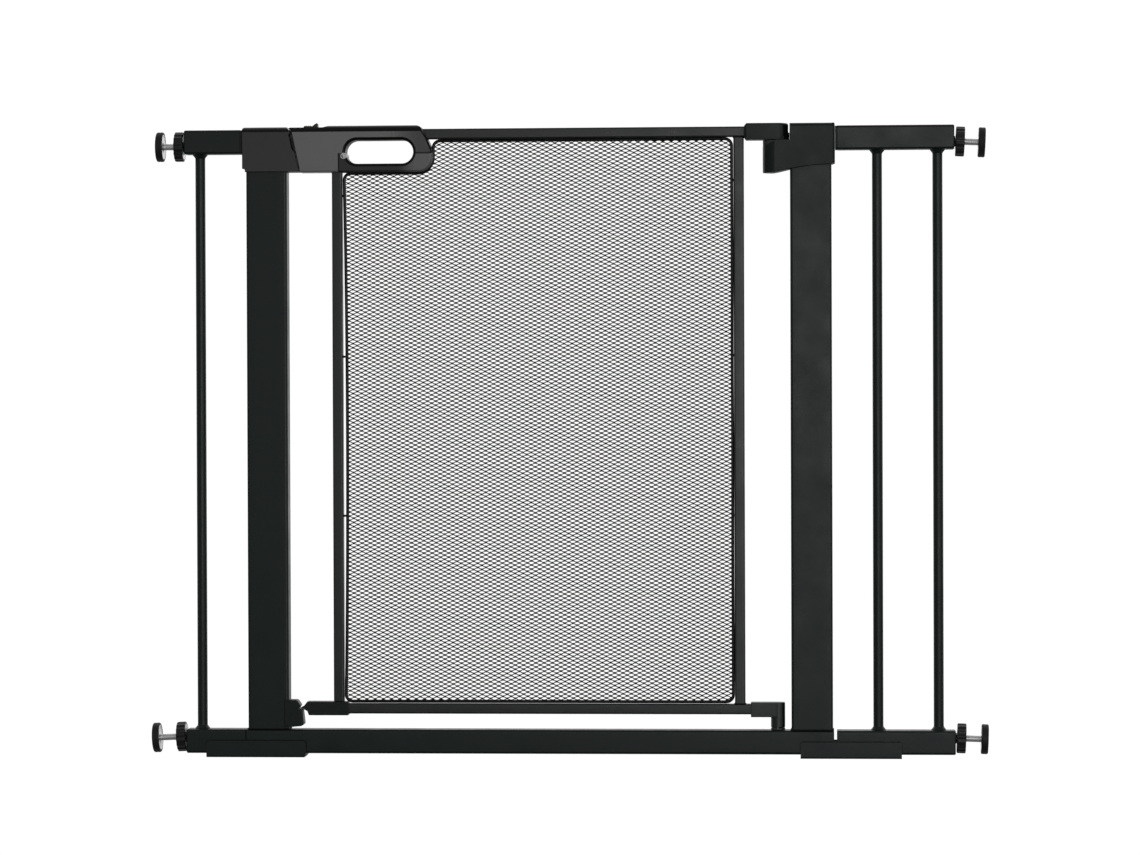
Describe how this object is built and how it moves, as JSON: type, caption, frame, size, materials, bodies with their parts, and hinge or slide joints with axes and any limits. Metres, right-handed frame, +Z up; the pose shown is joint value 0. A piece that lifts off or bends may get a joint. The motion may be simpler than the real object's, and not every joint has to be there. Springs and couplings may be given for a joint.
{
  "type": "safety gate",
  "caption": "Black pressure-fit safety gate with side extensions, a swinging expanded-mesh door, a thumb latch with lift-to-open handle and threaded wall spindles.",
  "frame": {"origin": "on the floor, under the middle of the gate's width and thickness", "axes": "+X along the gate's width towards the door's hinge, +Y through its thickness with the front facing -Y, +Z up"},
  "size_m": [1.004, 0.036, 0.7646],
  "materials": {
    "black_powder_coat": "satin powder coat",
    "black_moulded_plastic": "fine moulded texture",
    "charcoal_moulded_plastic": "satin moulded",
    "black_rubber": "matte",
    "bright_zinc": "zinc plated",
    "grey_nylon": "moulded bearing nylon"
  },
  "bodies": {
    "frame": {"left_post": "black_powder_coat", "right_post": "black_powder_coat", "bottom_bar": "black_powder_coat", "latch_housing": "black_moulded_plastic", "lower_catch": "black_moulded_plastic", "hinge_bracket": "black_moulded_plastic", "upper_hinge_bush": "grey_nylon", "upper_hinge_pin": "bright_zinc", "lower_hinge_bush": "grey_nylon", "lower_hinge_pin": "bright_zinc", "left_extension_top_rail": "black_powder_coat", "left_extension_bottom_rail": "black_powder_coat", "left_extension_bar": "black_powder_coat", "right_extension_top_rail": "black_powder_coat", "right_extension_bottom_rail": "black_powder_coat", "right_extension_bar_inner": "black_powder_coat", "right_extension_bar_outer": "black_powder_coat", "left_rail_joiner": "black_moulded_plastic", "right_rail_joiner": "black_moulded_plastic", "left_foot_plate": "black_powder_coat", "right_foot_plate": "black_powder_coat", "top_left_end_plug": "black_moulded_plastic", "top_right_end_plug": "black_moulded_plastic", "bottom_left_end_plug": "black_moulded_plastic", "bottom_right_end_plug": "black_moulded_plastic"},
    "hinge_ring": {"hinge_cam": "black_moulded_plastic"},
    "door": {"door_left_stile": "black_powder_coat", "door_right_stile": "black_powder_coat", "door_top_tube": "black_powder_coat", "door_bottom_tube": "black_powder_coat", "wire_border": "black_powder_coat", "mesh_panel": "black_powder_coat", "handle_body": "charcoal_moulded_plastic", "handle_grip": "charcoal_moulded_plastic", "grip_pin": "bright_zinc", "hinge_block": "black_moulded_plastic", "hinge_elbow": "black_moulded_plastic", "bottom_catch_cap": "black_moulded_plastic", "bolt_spring": "bright_zinc"},
    "bolt": {"thumb_slider": "black_moulded_plastic", "latch_bolt": "bright_zinc"},
    "top_left_knob": {"top_left_knob": "black_moulded_plastic"},
    "top_left_spindle": {"top_left_threaded_rod": "bright_zinc", "top_left_pad_disc": "bright_zinc", "top_left_wall_pad": "black_rubber"},
    "top_right_knob": {"top_right_knob": "black_moulded_plastic"},
    "top_right_spindle": {"top_right_threaded_rod": "bright_zinc", "top_right_pad_disc": "bright_zinc", "top_right_wall_pad": "black_rubber"},
    "bottom_left_knob": {"bottom_left_knob": "black_moulded_plastic"},
    "bottom_left_spindle": {"bottom_left_threaded_rod": "bright_zinc", "bottom_left_pad_disc": "bright_zinc", "bottom_left_wall_pad": "black_rubber"},
    "bottom_right_knob": {"bottom_right_knob": "black_moulded_plastic"},
    "bottom_right_spindle": {"bottom_right_threaded_rod": "bright_zinc", "bottom_right_pad_disc": "bright_zinc", "bottom_right_wall_pad": "black_rubber"}
  },
  "joints": [
    {"name": "door_swing", "type": "hinge", "parent": "frame", "child": "hinge_ring", "pos_m": [0.251, 0, 0], "axis": [0, 0, 1], "range_deg": [-90, 90], "stiffness_Nm_per_rad": 0.12},
    {"name": "door_lift", "type": "slide", "parent": "hinge_ring", "child": "door", "axis": [0, 0, 1], "range_m": [0, 0.006]},
    {"name": "thumb_slide", "type": "slide", "parent": "door", "child": "bolt", "axis": [1, 0, 0], "range_m": [0, 0.007], "stiffness_N_per_m": 150, "springref_m": -0.008, "deforming": ["bolt_spring"]},
    {"name": "top_left_spindle_slide", "type": "slide", "parent": "frame", "child": "top_left_spindle", "axis": [-1, 0, 0], "range_m": [-0.01125, 0.02]},
    {"name": "top_left_knob_spin", "type": "hinge", "parent": "frame", "child": "top_left_knob", "pos_m": [-0.4646, 0, 0.7373], "axis": [-1, 0, 0], "range_deg": [-3241, 5761]},
    {"name": "top_right_spindle_slide", "type": "slide", "parent": "frame", "child": "top_right_spindle", "axis": [1, 0, 0], "range_m": [-0.015, 0.02]},
    {"name": "top_right_knob_spin", "type": "hinge", "parent": "frame", "child": "top_right_knob", "pos_m": [0.4646, 0, 0.7373], "axis": [1, 0, 0], "range_deg": [-4321, 5761]},
    {"name": "bottom_left_spindle_slide", "type": "slide", "parent": "frame", "child": "bottom_left_spindle", "axis": [-1, 0, 0], "range_m": [-0.015, 0.02]},
    {"name": "bottom_left_knob_spin", "type": "hinge", "parent": "frame", "child": "bottom_left_knob", "pos_m": [-0.4646, 0, 0.0242], "axis": [-1, 0, 0], "range_deg": [-4321, 5761]},
    {"name": "bottom_right_spindle_slide", "type": "slide", "parent": "frame", "child": "bottom_right_spindle", "axis": [1, 0, 0], "range_m": [-0.015, 0.02]},
    {"name": "bottom_right_knob_spin", "type": "hinge", "parent": "frame", "child": "bottom_right_knob", "pos_m": [0.4646, 0, 0.0242], "axis": [1, 0, 0], "range_deg": [-4321, 5761]}
  ],
  "couplings": [
    {"joint": "top_left_knob_spin", "follows": "top_left_spindle_slide", "rad_per_m": 5026.5},
    {"joint": "top_right_knob_spin", "follows": "top_right_spindle_slide", "rad_per_m": 5026.5},
    {"joint": "bottom_left_knob_spin", "follows": "bottom_left_spindle_slide", "rad_per_m": 5026.5},
    {"joint": "bottom_right_knob_spin", "follows": "bottom_right_spindle_slide", "rad_per_m": 5026.5}
  ]
}
